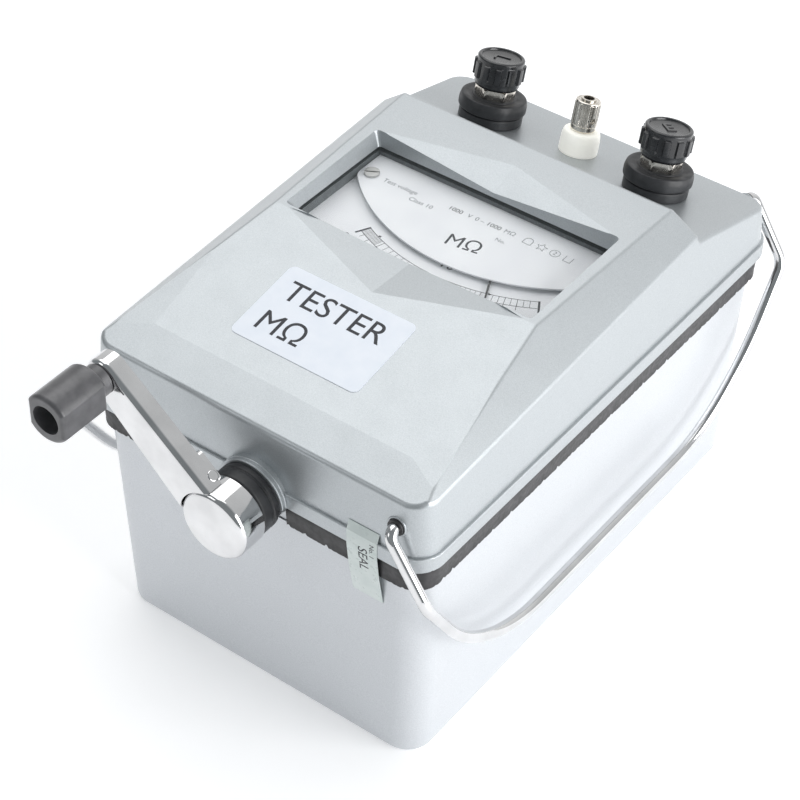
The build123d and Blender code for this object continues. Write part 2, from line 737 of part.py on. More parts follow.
def arm_outline(inset):
    """Tapered outline with a round tip, along local x."""
    root, tip = arm_half_root - inset, arm_half_tip - inset
    with BuildSketch() as outline:
        with BuildLine():
            Line((arm_start, -root), (arm_length, -tip))
            ThreePointArc((arm_length, -tip), (arm_length + tip, 0), (arm_length, tip))
            Line((arm_length, tip), (arm_start, root))
            Line((arm_start, root), (arm_start, -root))
        make_face()
    return outline.sketch


with BuildPart() as crank_arm:
    with BuildSketch(arm_plane(hub_front + flange_depth)):
        add(arm_outline(0))
    extrude(amount=flange_depth)
    fillet(crank_arm.faces().sort_by(Axis.Y)[0].edges(), arm_edge_r)
    with BuildSketch(arm_plane(hub_front + flange_depth)):
        add(arm_outline(sheet))
    extrude(amount=flange_depth - sheet, mode=Mode.SUBTRACT)
    with BuildSketch(arm_plane(hub_front + flange_depth)):
        with Locations((arm_length, 0)):
            Circle(arm_half_tip - sheet + 0.1)
    extrude(amount=flange_depth - sheet)
    # clears the round hub face, leaving a fine arc seam
    with BuildSketch(arm_plane(hub_back + 1)):
        Circle(hub_r + 0.12)
    extrude(amount=14, mode=Mode.SUBTRACT)
    with BuildSketch(arm_plane(hub_back)):
        with Locations((arm_length, 0)):
            Circle(spindle_r)
    extrude(amount=14, mode=Mode.SUBTRACT)
    with BuildSketch(pin_plane):
        Circle(cross_pin_r)
    extrude(amount=20, both=True, mode=Mode.SUBTRACT)
save(crank_arm.part, "crank_arm")

with BuildPart() as hub_pin:
    with BuildSketch(pin_plane):
        Circle(cross_pin_r)
    extrude(amount=pin_half, both=True)
    fillet(hub_pin.edges().filter_by(GeomType.CIRCLE), 0.4)
save(hub_pin.part, "hub_pin")

grip_r = 8.8
grip_y = (-133.2, -153.0)
grip_flat = 7.4
neck_r = 5.6
neck_back = hub_front - 0.3
rivet_r, rivet_y = 4.2, grip_y[1] + 8.7  # slotted head of the spindle, sunk in the grip
with BuildPart() as crank_grip:
    with BuildSketch(arm_plane(grip_y[0])):
        with Locations((arm_length, 0)):
            Circle(grip_r)
            Rectangle(2 * grip_flat, 4 * grip_r, rotation=-arm_angle, mode=Mode.INTERSECT)
    extrude(amount=grip_y[0] - grip_y[1])
    fillet(crank_grip.faces().sort_by(Axis.Y)[0].edges(), 1.4)
    fillet(crank_grip.faces().sort_by(Axis.Y)[-1].edges(), 1.0)
    with BuildSketch(arm_plane(neck_back)):
        with Locations((arm_length, 0)):
            Circle(neck_r)
    extrude(amount=neck_back - grip_y[0])
    with BuildSketch(arm_plane(hub_front)):
        with Locations((arm_length, 0)):
            Circle(spindle_r + 0.1)
    extrude(amount=30, mode=Mode.SUBTRACT)
    with BuildSketch(arm_plane(rivet_y + 0.3)):
        with Locations((arm_length, 0)):
            Circle(rivet_r + 1.0)
    extrude(amount=12, mode=Mode.SUBTRACT)
save(crank_grip.part, "crank_grip")

with BuildPart() as grip_spindle:
    with BuildSketch(arm_plane(hub_front + flange_depth + 1.0)):
        with Locations((arm_length, 0)):
            Circle(spindle_r)
    extrude(amount=hub_front + flange_depth + 1.0 - rivet_y)
    with BuildSketch(arm_plane(rivet_y)):
        with Locations((arm_length, 0)):
            Circle(rivet_r)
    extrude(amount=2.6)
    with BuildSketch(arm_plane(rivet_y - 1.4)):
        with Locations((arm_length, 0)):
            Rectangle(9, 1.0)
    extrude(amount=2, mode=Mode.SUBTRACT)
save(grip_spindle.part, "grip_spindle")

# ---- carrying bails -----------------------------------------------------
def bail(side):
    """Bent wire bail, hanging: its arms step out past the skirt before they drop."""
    half = [(bail_x, bail_end_y, bail_z)] + bail_bends
    route = [(side * x, -y, z) for x, y, z in half] + [(side * x, y, z) for x, y, z in reversed(half)]
    with BuildPart() as wire:
        with BuildLine() as path:
            FilletPolyline(*route, radius=bail_radii + bail_radii[::-1])
        with BuildSketch(Plane(origin=path.line @ 0, z_dir=path.line % 0)):
            Circle(bail_wire)
        sweep()
    return wire.part


for side, word in ((1, "right"), (-1, "left")):
    save(bail(side), f"bail_{word}")

with BuildPart() as bail_bushes:
    for y_back, radius in ((-102.2, bush_r["front"]), (106.2, bush_r["rear"])):
        with BuildSketch(facing_front(y_back)):
            with Locations((bail_x, bail_z), (-bail_x, bail_z)):
                Circle(radius)
                Circle(bail_wire + clearance, mode=Mode.SUBTRACT)
        extrude(amount=4.0)
save(bail_bushes.part, "bail_bushes")

# ---- line and earth terminals -------------------------------------------
stud_r = 3.0
collar_h, nut_h = 9.4, 3.4
knob_gap = 0.4
knob_low = collar_h + nut_h + knob_gap
knob_h = 11.4
stud_below = 14.0                    # stud length under the panel
back_nut = (-8.2, -5.2)              # nut under the panel
insert_r, insert_h = 4.6, 8.6        # brass insert moulded into a knob
knob_foot = 2.4                      # plain cone below the flutes
knob_rs = (8.2, 9.4, 9.6)            # foot, top of the cone, flutes

with BuildPart() as terminal_collars:
    for x in terminal_xs.values():
        for low, high, radius in (
                (-5.0, 0.2, collar_spigot_r), (0.0, 3.6, 12.0), (3.6, 4.3, 11.5), (4.3, collar_h, 12.7)):
            with BuildSketch(panel_plane(x, terminal_y, low)):
                Circle(radius)
            extrude(amount=high - low)
        with BuildSketch(panel_plane(x, terminal_y, -6)):
            Circle(stud_r)
        extrude(amount=20, mode=Mode.SUBTRACT)
save(terminal_collars.part, "terminal_collars")

with BuildPart() as terminal_nuts:
    for x in terminal_xs.values():
        with BuildSketch(panel_plane(x, terminal_y, collar_h)):
            RegularPolygon(7.5, 6)
            Circle(stud_r, mode=Mode.SUBTRACT)
        extrude(amount=nut_h)
save(terminal_nuts.part, "terminal_nuts")

with BuildPart() as terminal_studs:
    for x in terminal_xs.values():
        with BuildSketch(panel_plane(x, terminal_y, -stud_below)):
            Circle(stud_r)
        extrude(amount=stud_below + knob_low + 7.0)
        with BuildSketch(panel_plane(x, terminal_y, back_nut[0])):
            RegularPolygon(6.4, 6)
            Circle(stud_r, mode=Mode.SUBTRACT)
        extrude(amount=back_nut[1] - back_nut[0])
save(terminal_studs.part, "terminal_studs")

flutes = 18
for word, x in terminal_xs.items():
    with BuildPart() as insert:
        with BuildSketch(panel_plane(x, terminal_y, knob_low)):
            Circle(insert_r)
            Circle(stud_r + clearance, mode=Mode.SUBTRACT)
        extrude(amount=insert_h)
    save(insert.part, f"knob_insert_{word}")
    with BuildPart() as knob:
        with BuildSketch(panel_plane(x, terminal_y, knob_low)):
            Circle(knob_rs[0])
        with BuildSketch(panel_plane(x, terminal_y, knob_low + knob_foot)):
            Circle(knob_rs[1])
        loft()
        with BuildSketch(panel_plane(x, terminal_y, knob_low + knob_foot)):
            Circle(knob_rs[2])
            with PolarLocations(knob_rs[2] + 0.3, flutes):
                Circle(0.6, mode=Mode.SUBTRACT)
        extrude(amount=knob_h - knob_foot)
        with BuildSketch(panel_plane(x, terminal_y, knob_low + knob_h - 0.6)):
            Circle(7.2)
        extrude(amount=1, mode=Mode.SUBTRACT)
        with BuildSketch(panel_plane(x, terminal_y, knob_low - 1)):
            Circle(insert_r + 0.08)
        extrude(amount=1 + insert_h + 0.2, mode=Mode.SUBTRACT)
    save(knob.part, f"knob_{word}")

# ---- guard terminal -----------------------------------------------------
guard_low, guard_top = 9.0, 21.0
guard_stud_r = 2.8
guard_insert_r, guard_nut_r = 3.6, 4.75
guard_nut_h = guard_top - guard_low - 0.6
socket_r, socket_depth = 2.0, 11.0   # takes a 4 mm test plug
with BuildPart() as guard_insulator:
    for low, high, radius in ((-5.0, 0.2, guard_spigot_r), (0.0, 8.6, 7.25)):
        with BuildSketch(panel_plane(0, guard_y, low)):
            Circle(radius)
        extrude(amount=high - low)
    fillet(guard_insulator.edges().filter_by(GeomType.CIRCLE).sort_by(Axis.Z)[-1], 1.2)
    with BuildSketch(panel_plane(0, guard_y, -6)):
        Circle(guard_stud_r)
    extrude(amount=20, mode=Mode.SUBTRACT)
save(guard_insulator.part, "guard_insulator")

with BuildPart() as guard_stud:
    with BuildSketch(panel_plane(0, guard_y, -13)):
        Circle(guard_stud_r)
    extrude(amount=13 + guard_top)
    with BuildSketch(panel_plane(0, guard_y, back_nut[0])):
        RegularPolygon(5.4, 6)
        Circle(guard_stud_r, mode=Mode.SUBTRACT)
    extrude(amount=back_nut[1] - back_nut[0])
    with BuildSketch(panel_plane(0, guard_y, guard_top)):
        Circle(socket_r)
    extrude(amount=-socket_depth, mode=Mode.SUBTRACT)
save(guard_stud.part, "guard_stud")

with BuildPart() as guard_insert:
    with BuildSketch(panel_plane(0, guard_y, guard_low)):
        Circle(guard_insert_r)
        Circle(guard_stud_r + clearance, mode=Mode.SUBTRACT)
    extrude(amount=guard_nut_h)
save(guard_insert.part, "guard_insert")

with BuildPart() as guard_nut:
    with BuildSketch(panel_plane(0, guard_y, guard_low)):
        Circle(guard_nut_r)
        with PolarLocations(guard_nut_r + 0.2, 24):
            Circle(0.35, mode=Mode.SUBTRACT)
        Circle(guard_insert_r + 0.08, mode=Mode.SUBTRACT)
    extrude(amount=guard_nut_h)
save(guard_nut.part, "guard_nut")

# ---- circuit board ------------------------------------------------------
board_z = (58.0, 59.6)
board_mid_y = 42.0
board_size = (104.0, 84.0)
board_corners = [(45, 6), (-45, 6), (45, 78), (-45, 78)]
with BuildPart() as circuit_board:
    with BuildSketch(Plane.XY.offset(board_z[0])):
        with Locations((0, board_mid_y)):
            RectangleRounded(*board_size, 3)
        with Locations(*board_corners):
            Circle(1.8, mode=Mode.SUBTRACT)
    extrude(amount=board_z[1] - board_z[0])
save(circuit_board.part, "circuit_board")

with BuildPart() as board_pillars:
    with BuildSketch(Plane.XY.offset(wall)):
        with Locations(*board_corners):
            Circle(3.5)
    extrude(amount=board_z[0] - wall)
save(board_pillars.part, "board_pillars")

core_mid, core_size, core_h = (-22.0, 34.0), (32.0, 26.0), 22.0
winding_size, winding_half = (20.0, 15.0), 18.0
with BuildPart() as transformer:
    with BuildSketch(Plane.XY.offset(board_z[1])):
        with Locations(core_mid):
            Rectangle(*core_size)
    extrude(amount=core_h)
    with BuildSketch(Plane.XZ.offset(-core_mid[1])):
        with Locations((core_mid[0], board_z[1] + core_h / 2)):
            Rectangle(*winding_size)
    extrude(amount=winding_half, both=True)
save(transformer.part, "transformer")

capacitor_r, capacitor_h = 6.3, 24.0
capacitor_places = [(16, 24), (34, 24), (16, 46), (34, 46), (16, 68)]
with BuildPart() as capacitors:
    with BuildSketch(Plane.XY.offset(board_z[1])):
        with Locations(*capacitor_places):
            Circle(capacitor_r)
    extrude(amount=capacitor_h)
save(capacitors.part, "capacitors")

# ---- label and seal -----------------------------------------------------
sticker_t = 0.2
label_size = (52.0, 34.0)
label_mid = (-4.0, -62.0)
main_slope = math.atan2(block_front[1] - chin_top[1], block_front[0] - chin_top[0])
label_plane = Plane(
    origin=(label_mid[0], label_mid[1], line_height(chin_top, block_front, label_mid[1])),
    x_dir=(1, 0, 0), z_dir=(0, -math.sin(main_slope), math.cos(main_slope)))
with BuildPart() as label:
    with BuildSketch(label_plane):
        RectangleRounded(*label_size, 2.5)
    extrude(amount=sticker_t)
save(label.part, "label")

# paper seal pasted over the joint: cover skirt, rubber band, lower case
seal_x = (40.4, 52.4)
cover_front, gasket_front = cover_l / 2, cover_l / 2 - band_inset
seal_line = [
    (-cover_front + 0.75, 103.9), (-cover_front - 0.55, parting_z + skirt_h + 0.1),
    (-cover_front - 0.55, parting_z - 0.1), (-gasket_front - 0.15, gasket_z[0] - 0.2), (-103.5, 71.5)]
with BuildPart() as seal_sticker:
    with BuildSketch(Plane.YZ.offset(seal_x[0])):
        with BuildLine():
            Polyline(*seal_line, *[(y - sticker_t, z) for y, z in reversed(seal_line)], close=True)
        make_face()
    extrude(amount=seal_x[1] - seal_x[0])
save(seal_sticker.part, "seal_sticker")
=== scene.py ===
# %% [markdown]
# # A hand-crank insulation tester, finished in Blender
# The tester is a two-part cast case with a rubber band between the halves, a window over a
# printed scale, a folding wire bail on each side, a crank on the front end and three terminals
# on the sloping panel at the back. The working parts come as a ready CAD frame. This lesson gives
# them paint, rubber, plating and print, and models again the pieces where the eye wants more
# than a plain solid: moulded knobs, knurling, the torn edge of the rubber, the printed scale.

# %% Load the frame
import json
import math
import bmesh
import bpy
from mathutils import Matrix, Vector


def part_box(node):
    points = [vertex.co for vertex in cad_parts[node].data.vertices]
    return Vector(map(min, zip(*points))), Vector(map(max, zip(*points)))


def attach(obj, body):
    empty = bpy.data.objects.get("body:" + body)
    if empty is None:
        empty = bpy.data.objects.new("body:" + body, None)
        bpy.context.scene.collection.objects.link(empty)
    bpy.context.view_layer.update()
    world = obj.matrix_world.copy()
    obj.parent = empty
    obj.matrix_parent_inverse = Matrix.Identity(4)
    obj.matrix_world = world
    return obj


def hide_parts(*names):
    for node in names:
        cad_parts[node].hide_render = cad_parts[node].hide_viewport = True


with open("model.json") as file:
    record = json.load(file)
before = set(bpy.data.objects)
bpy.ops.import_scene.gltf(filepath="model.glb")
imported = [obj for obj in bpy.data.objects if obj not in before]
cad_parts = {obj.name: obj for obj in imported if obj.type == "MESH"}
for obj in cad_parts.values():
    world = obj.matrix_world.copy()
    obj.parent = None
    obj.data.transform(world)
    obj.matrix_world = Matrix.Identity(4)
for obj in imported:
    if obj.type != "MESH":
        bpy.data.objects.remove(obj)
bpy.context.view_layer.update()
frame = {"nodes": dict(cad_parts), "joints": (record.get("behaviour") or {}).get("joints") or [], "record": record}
nodes = frame["nodes"]
joints = {joint["name"]: joint for joint in frame["joints"]}
MM = 0.001
print("pieces in the frame:", len(nodes))

# %% [markdown]
# ## The camera
# The tester is seen from its front right corner, well above, through a long lens. An azimuth and
# an elevation are enough to aim: they give the direction back to the eye, and the other two axes
# follow from it. A small roll is a turn of those two about the line of sight.

# %% Aim the camera
azimuth, elevation, roll = math.radians(36.0), math.radians(41.76), math.radians(1.147)
eye_distance = 889.67 * MM
aim_right, aim_up = -14.378, 41.944  # the point aimed at, in mm from the frame's origin
level = math.cos(elevation)
back = Vector((math.sin(azimuth) * level, -math.cos(azimuth) * level, math.sin(elevation)))
right = Vector((math.cos(azimuth), math.sin(azimuth), 0))
up = back.cross(right)
aim = right * aim_right * MM + up * aim_up * MM

camera_data = bpy.data.cameras.new("camera")
camera_data.lens = 106.58
camera_data.sensor_width = 36
camera_data.clip_start = 0.05
camera = bpy.data.objects.new("camera", camera_data)
bpy.context.scene.collection.objects.link(camera)
side_axis = right * math.cos(roll) + up * math.sin(roll)
top_axis = up * math.cos(roll) - right * math.sin(roll)
turn = Matrix((side_axis, top_axis, back)).transposed().to_4x4()
camera.matrix_world = Matrix.Translation(aim + back * eye_distance) @ turn
bpy.context.scene.camera = camera
print("camera at", [round(value, 3) for value in camera.matrix_world.translation])

# %% [markdown]
# ## Floor and light
# A product like this is shot on white. The floor is a wide pale sheet, and three soft boxes light
# it: a strong one on the right, a broad one overhead, and a small weak one in front, which the rim
# and the creases of the cover mirror. The room is bright behind the tester, like a white backdrop,
# and dim in front, where the maker stands: that is what gives a silver case its tones, because
# each face mirrors another part of the room.

# %% Lay the floor
def grid_sheet(name, half, steps):
    """A flat sheet with a few divisions, centred on the origin."""
    mesh = bpy.data.meshes.new(name)
    shape = bmesh.new()
    bmesh.ops.create_grid(shape, x_segments=steps, y_segments=steps, size=half)
    shape.to_mesh(mesh)
    shape.free()
    sheet = bpy.data.objects.new(name, mesh)
    bpy.context.scene.collection.objects.link(sheet)
    return sheet


floor = grid_sheet("floor", 4.0, 8)
floor.location.z = -0.0002

# %% Hang the lights
def soft_box(name, place, size, power):
    """A square soft box that faces the tester."""
    lamp = bpy.data.lights.new(name, "AREA")
    lamp.shape = "SQUARE"
    lamp.size = size
    lamp.energy = power
    box = bpy.data.objects.new(name, lamp)
    box.location = place
    box.rotation_euler = (Vector((0, 0, 0.07)) - Vector(place)).to_track_quat("-Z", "Y").to_euler()
    bpy.context.scene.collection.objects.link(box)
    return box


soft_box("right_box", (1.25, 0.10, 0.50), 1.0, 16)
soft_box("top_box", (-0.55, 0.35, 1.5), 1.4, 9)
soft_box("front_box", (-0.5, -0.8, 0.72), 0.35, 0.7)

backdrop_side = (-0.15, 0.98, 0.10)
backdrop_white, room_grey = (1.0, 1.0, 1.0, 1), (0.26, 0.28, 0.29, 1)
world = bpy.data.worlds.new("studio")
world.use_nodes = True
bpy.context.scene.world = world
sky = world.node_tree
where = sky.nodes.new("ShaderNodeTexCoord")
towards = sky.nodes.new("ShaderNodeVectorMath")
towards.operation = "DOT_PRODUCT"
towards.inputs[1].default_value = backdrop_side
ramp = sky.nodes.new("ShaderNodeValToRGB")
sky.links.new(where.outputs["Generated"], towards.inputs[0])
sky.links.new(towards.outputs["Value"], ramp.inputs[0])
ramp.color_ramp.elements[0].position = 0.0
ramp.color_ramp.elements[0].color = room_grey
ramp.color_ramp.elements[1].position = 0.95
ramp.color_ramp.elements[1].color = backdrop_white
sky.links.new(ramp.outputs["Color"], sky.nodes["Background"].inputs["Color"])
sky.nodes["Background"].inputs["Strength"].default_value = 0.95
bpy.context.scene.view_settings.view_transform = "Standard"
print("lights:", [light.name for light in bpy.data.lights])

# %% [markdown]
# ## Tools for finishes
# Every finish here is a shader with procedural detail, because nothing on a real product is one
# flat colour. Three small helpers carry most of the work: a cloud of noise in object space, a
# blend of two colours by that noise, and a bump made from it. Each is given its real grain size
# in millimetres, so a finish has the same scale on a small screw and on the big case.

# %% Noise, colour and bump helpers
def new_finish(name):
    """A named material and its shader."""
    material = bpy.data.materials.new(name)
    material.use_nodes = True
    return material, material.node_tree, material.node_tree.nodes["Principled BSDF"]


def cloud(tree, grain_mm, detail=3.0, stretch=(1, 1, 1)):
    """Noise with lumps of about grain_mm, in the object's own space."""
    place = tree.nodes.new("ShaderNodeTexCoord")
    scale = tree.nodes.new("ShaderNodeMapping")
    scale.inputs["Scale"].default_value = [1 / (grain_mm * MM) / k for k in stretch]
    lumps = tree.nodes.new("ShaderNodeTexNoise")
    lumps.inputs["Scale"].default_value = 1.0
    lumps.inputs["Detail"].default_value = detail
    tree.links.new(place.outputs["Object"], scale.inputs["Vector"])
    tree.links.new(scale.outputs["Vector"], lumps.inputs["Vector"])
    return lumps.outputs["Fac"]


def spread(tree, value, low, high, start=0.3, end=0.7):
    """Maps the middle of a noise to the numbers low to high."""
    fit = tree.nodes.new("ShaderNodeMapRange")
    fit.inputs["From Min"].default_value = start
    fit.inputs["From Max"].default_value = end
    fit.inputs["To Min"].default_value = low
    fit.inputs["To Max"].default_value = high
    tree.links.new(value, fit.inputs["Value"])
    return fit.outputs["Result"]


def two_tone(tree, value, dark, light):
    """Blends two colours by a number."""
    blend = tree.nodes.new("ShaderNodeMix")
    blend.data_type = "RGBA"
    blend.inputs["A"].default_value = (*dark, 1)
    blend.inputs["B"].default_value = (*light, 1)
    tree.links.new(value, blend.inputs["Factor"])
    return blend.outputs["Result"]


def bump(tree, height, depth_mm, below=None):
    """A bump of the given depth, laid over another one if there is one."""
    relief = tree.nodes.new("ShaderNodeBump")
    relief.inputs["Strength"].default_value = 1.0
    relief.inputs["Distance"].default_value = depth_mm * MM
    tree.links.new(height, relief.inputs["Height"])
    if below is not None:
        tree.links.new(below, relief.inputs["Normal"])
    return relief.outputs["Normal"]


def surface(name, dark, light, tone_grain, rough, rough_grain, bumps=(), stretch=(1, 1, 1), **sockets):
    """A finish from two tones, a roughness range and a list of (grain, depth) bumps, in mm."""
    material, tree, shader = new_finish(name)
    tone = spread(tree, cloud(tree, tone_grain, 4.0, stretch), 0, 1)
    tree.links.new(two_tone(tree, tone, dark, light), shader.inputs["Base Color"])
    tree.links.new(spread(tree, cloud(tree, rough_grain, 3.0, stretch), *rough), shader.inputs["Roughness"])
    relief = None
    for grain, depth in bumps:
        relief = bump(tree, cloud(tree, grain, 2.0, stretch), depth, relief)
    if relief is not None:
        tree.links.new(relief, shader.inputs["Normal"])
    for socket, value in sockets.items():
        shader.inputs[socket.replace("_", " ")].default_value = value
    return material


# %% [markdown]
# ## Paint
# The case is die-cast and sprayed with a satin silver-grey. Two things make it read as paint and
# not as plastic: tiny bright flakes under the surface, and the faint orange-peel of a sprayed
# coat. Flakes are a very fine noise that shifts the tone, and the peel is a bump a few
# micrometres deep. A clear coat gives the soft second highlight. The lower case gets a lighter,
# less metallic copy of the same paint: painted light, which brightens the case's faces.

# %% Satin silver paint
def satin_paint(name, dark, light, metallic):
    """Sprayed silver-grey with flakes, orange peel and a few handling scuffs."""
    material, tree, shader = new_finish(name)
    flakes = spread(tree, cloud(tree, 0.35, 1.0), 0, 1)
    coat = two_tone(tree, flakes, dark, light)
    scuffed = tree.nodes.new("ShaderNodeMix")
    scuffed.data_type = "RGBA"
    scuffed.blend_type = "MULTIPLY"
    scuffed.inputs["B"].default_value = (0.90, 0.90, 0.90, 1)
    tree.links.new(spread(tree, cloud(tree, 22, 6.0), 0, 0.14, 0.5, 0.8), scuffed.inputs["Factor"])
    tree.links.new(coat, scuffed.inputs["A"])
    tree.links.new(scuffed.outputs["Result"], shader.inputs["Base Color"])
    tree.links.new(spread(tree, cloud(tree, 9, 4.0), 0.385, 0.425), shader.inputs["Roughness"])
    peel = bump(tree, cloud(tree, 1.6, 1.0), 0.010)
    tree.links.new(bump(tree, cloud(tree, 0.3, 1.0), 0.004, peel), shader.inputs["Normal"])
    shader.inputs["Metallic"].default_value = metallic
    shader.inputs["Coat Weight"].default_value = 0.25
    shader.inputs["Coat Roughness"].default_value = 0.22
    return material


paint = satin_paint("satin_silver_paint", (0.440, 0.468, 0.485), (0.520, 0.548, 0.565), 0.75)
# the lower case's copy is lighter and less metallic: painted light on the case's faces
painted_lighter_case_paint = satin_paint("lower_case_paint_painted_lighter", (0.585, 0.605, 0.63), (0.665, 0.685, 0.71), 0.50)
print("paint nodes:", len(paint.node_tree.nodes))

# %% [markdown]
# ## Rubber, mouldings and plating
# The rubber band is dull, with a bloom that greys it in patches. The knobs are a hard black
# moulding with a gloss that fingers have dulled here and there. The crank and the bails are
# chromed: almost a mirror, so only a trace of roughness and long fine scratches keep it real.
# The nuts carry nickel, which is warmer and less bright than chrome.

# %% Rubber, black moulding and nylon with a painted glow
rubber = surface(
    "black_rubber", (0.012, 0.012, 0.013), (0.040, 0.038, 0.041), 5.0, (0.34, 0.52), 1.5,
    [(0.25, 0.02), (3.0, 0.05)])
moulding = surface(
    "black_moulding", (0.010, 0.011, 0.013), (0.020, 0.021, 0.024), 6.0, (0.16, 0.30), 4.0,
    [(0.5, 0.004)], Coat_Weight=0.4, Coat_Roughness=0.12)
dull_moulding = surface(
    "dull_black_moulding", (0.014, 0.015, 0.017), (0.032, 0.033, 0.036), 5.0, (0.36, 0.52), 3.0,
    [(0.4, 0.008)])
# The nylon's emission is a painted glow: the white foot shines though it is no lamp.
nylon_with_painted_glow = surface(
    "natural_nylon_painted_glow", (0.93, 0.92, 0.84), (0.97, 0.96, 0.91), 7.0, (0.30, 0.42), 2.0,
    [(0.6, 0.006)], Emission_Color=(1.0, 0.985, 0.91, 1), Emission_Strength=0.30)
grip_moulding = surface(
    "worn_grip_moulding", (0.050, 0.050, 0.054), (0.095, 0.094, 0.100), 4.0, (0.30, 0.42), 3.0,
    [(0.4, 0.008)], Coat_Weight=0.5, Coat_Roughness=0.30)

# %% Chrome, nickel and the plain metals
chrome = surface(
    "bright_chrome", (0.64, 0.64, 0.645), (0.76, 0.76, 0.765), 12.0, (0.035, 0.11), 6.0,
    [(4.0, 0.006), (0.3, 0.0008)], Metallic=1.0)
nickel = surface(
    "bright_nickel", (0.66, 0.62, 0.56), (0.84, 0.80, 0.74), 4.0, (0.14, 0.30), 1.2,
    [(0.4, 0.003)], Metallic=1.0)
steel = surface(
    "zinc_plated_steel", (0.46, 0.46, 0.45), (0.62, 0.62, 0.60), 3.0, (0.28, 0.46), 0.8,
    [(0.5, 0.005)], stretch=(1, 8, 1), Metallic=1.0)
brass = surface(
    "turned_brass", (0.60, 0.42, 0.17), (0.78, 0.59, 0.28), 3.0, (0.18, 0.34), 0.7,
    [(0.3, 0.004)], stretch=(1, 6, 1), Metallic=1.0)
aluminium = surface(
    "bare_aluminium", (0.60, 0.61, 0.62), (0.74, 0.75, 0.76), 4.0, (0.28, 0.42), 0.9,
    [(0.4, 0.004)], stretch=(7, 1, 1), Metallic=1.0)
iron = surface(
    "ground_iron", (0.09, 0.09, 0.095), (0.17, 0.17, 0.18), 3.0, (0.40, 0.58), 1.0,
    [(0.5, 0.010)], Metallic=0.8)
copper = surface(
    "enamelled_copper", (0.34, 0.11, 0.045), (0.58, 0.24, 0.11), 1.2, (0.22, 0.36), 0.6,
    [(0.45, 0.05)], stretch=(6, 1, 1), Metallic=0.7, Coat_Weight=0.5)

# %% Board, sleeves, enamel, paper and ink
board = surface(
    "glass_fibre_board", (0.035, 0.13, 0.06), (0.06, 0.20, 0.09), 1.5, (0.30, 0.44), 0.8,
    [(0.7, 0.01)], Coat_Weight=0.3)
sleeve = surface(
    "shrink_sleeve", (0.025, 0.045, 0.13), (0.045, 0.075, 0.20), 5.0, (0.24, 0.38), 1.5, [(0.8, 0.006)])
enamel = surface(
    "white_dial_enamel", (0.86, 0.87, 0.90), (0.93, 0.94, 0.96), 14.0, (0.34, 0.46), 3.0, [(0.4, 0.002)])
black_lacquer = surface(
    "black_lacquer", (0.012, 0.012, 0.013), (0.028, 0.028, 0.030), 3.0, (0.34, 0.50), 1.0, [(0.4, 0.004)])
ink = surface(
    "printing_ink", (0.020, 0.022, 0.028), (0.045, 0.047, 0.055), 0.8, (0.50, 0.66), 0.6, [(0.3, 0.002)])
grey_ink = surface(
    "grey_ink", (0.20, 0.21, 0.23), (0.30, 0.31, 0.33), 0.8, (0.50, 0.66), 0.6, [(0.3, 0.002)])
paper = surface(
    "glossy_paper", (0.82, 0.87, 0.95), (0.87, 0.91, 0.98), 6.0, (0.30, 0.42), 2.0, [(0.25, 0.003)],
    Coat_Weight=0.2, Coat_Roughness=0.2)
seal_film = surface(
    "seal_film", (0.63, 0.70, 0.68), (0.72, 0.78, 0.76), 5.0, (0.24, 0.38), 2.0, [(0.3, 0.006)],
    Coat_Weight=0.3, Coat_Roughness=0.15)
studio_white = surface(
    "studio_white", (0.93, 0.93, 0.94), (0.96, 0.96, 0.97), 200.0, (0.7, 0.8), 60.0,
    Emission_Color=(1, 1, 1, 1), Emission_Strength=0.30)
floor.data.materials.append(studio_white)
print("finishes so far:", len(bpy.data.materials))

# %% [markdown]
# ## Glass
# The pane over the scale is clear, and what shows it is a little grey at grazing angles, dust
# specks and a reflection. A refracting pane would cast a black shadow on the scale without a very
# long render, so this pane is a thin film: nearly transparent, with the shine left on.

# %% Window glass
def pane_glass():
    """Clear thin pane with a trace of dust."""
    material, tree, shader = new_finish("window_pane")
    tone = two_tone(tree, spread(tree, cloud(tree, 30, 3.0), 0, 1), (0.70, 0.76, 0.76), (0.82, 0.88, 0.88))
    tree.links.new(tone, shader.inputs["Base Color"])
    dust = spread(tree, cloud(tree, 0.6, 2.0), 0.03, 0.10, 0.62, 0.85)
    tree.links.new(dust, shader.inputs["Alpha"])
    tree.links.new(spread(tree, cloud(tree, 5, 2.0), 0.02, 0.06), shader.inputs["Roughness"])
    shader.inputs["IOR"].default_value = 1.5
    material.surface_render_method = "BLENDED"
    return material


glass = pane_glass()

# %% [markdown]
# ## Give every CAD piece its finish
# The record names a material slot for each piece. Most slots become one finish, so a table from
# slot to finish dresses the whole frame in one pass. A few pieces differ from their slot, such
# as the grey bezel behind the window, and those are named one by one.

# %% Dress the frame
finish_of_slot = {
    "paint": paint, "black_rubber": rubber, "clear_glass": glass, "white_dial": enamel,
    "black_paint": black_lacquer, "chrome_steel": chrome, "nickel": nickel, "steel": steel,
    "brass": brass, "aluminium": aluminium, "magnet_iron": iron, "black_phenolic": moulding,
    "white_nylon": nylon_with_painted_glow, "copper_winding": copper, "green_board": board, "sleeve_blue": sleeve,
    "paper_white": paper,
}
bezel_grey = surface(
    "bezel_grey", (0.075, 0.085, 0.090), (0.115, 0.128, 0.135), 4.0, (0.45, 0.60), 1.5, [(0.5, 0.01)])
finish_of_node = {
    # the lower case takes the lighter copy of the paint, which is painted light
    "lower_case": painted_lighter_case_paint, "window_frame": bezel_grey, "seal_sticker": seal_film,
    "meter_frame": black_lacquer, "crank_grip": grip_moulding}
for part in frame["record"]["subparts"]:
    node = nodes[part["node"]]
    finish = finish_of_node.get(part["node"], finish_of_slot[part["material_slot"]])
    node.data.materials.clear()
    node.data.materials.append(finish)

# %% [markdown]
# ## Tools for turned and moulded pieces
# Most small parts here were turned on a lathe or moulded in a round die, so one helper spins a
# profile round an axis. It takes a rule for the outline as well, which makes flutes, knurls and
# hexagons from the same profile. Real edges are never sharp, so a second helper softens the
# corners of a profile before it is spun.

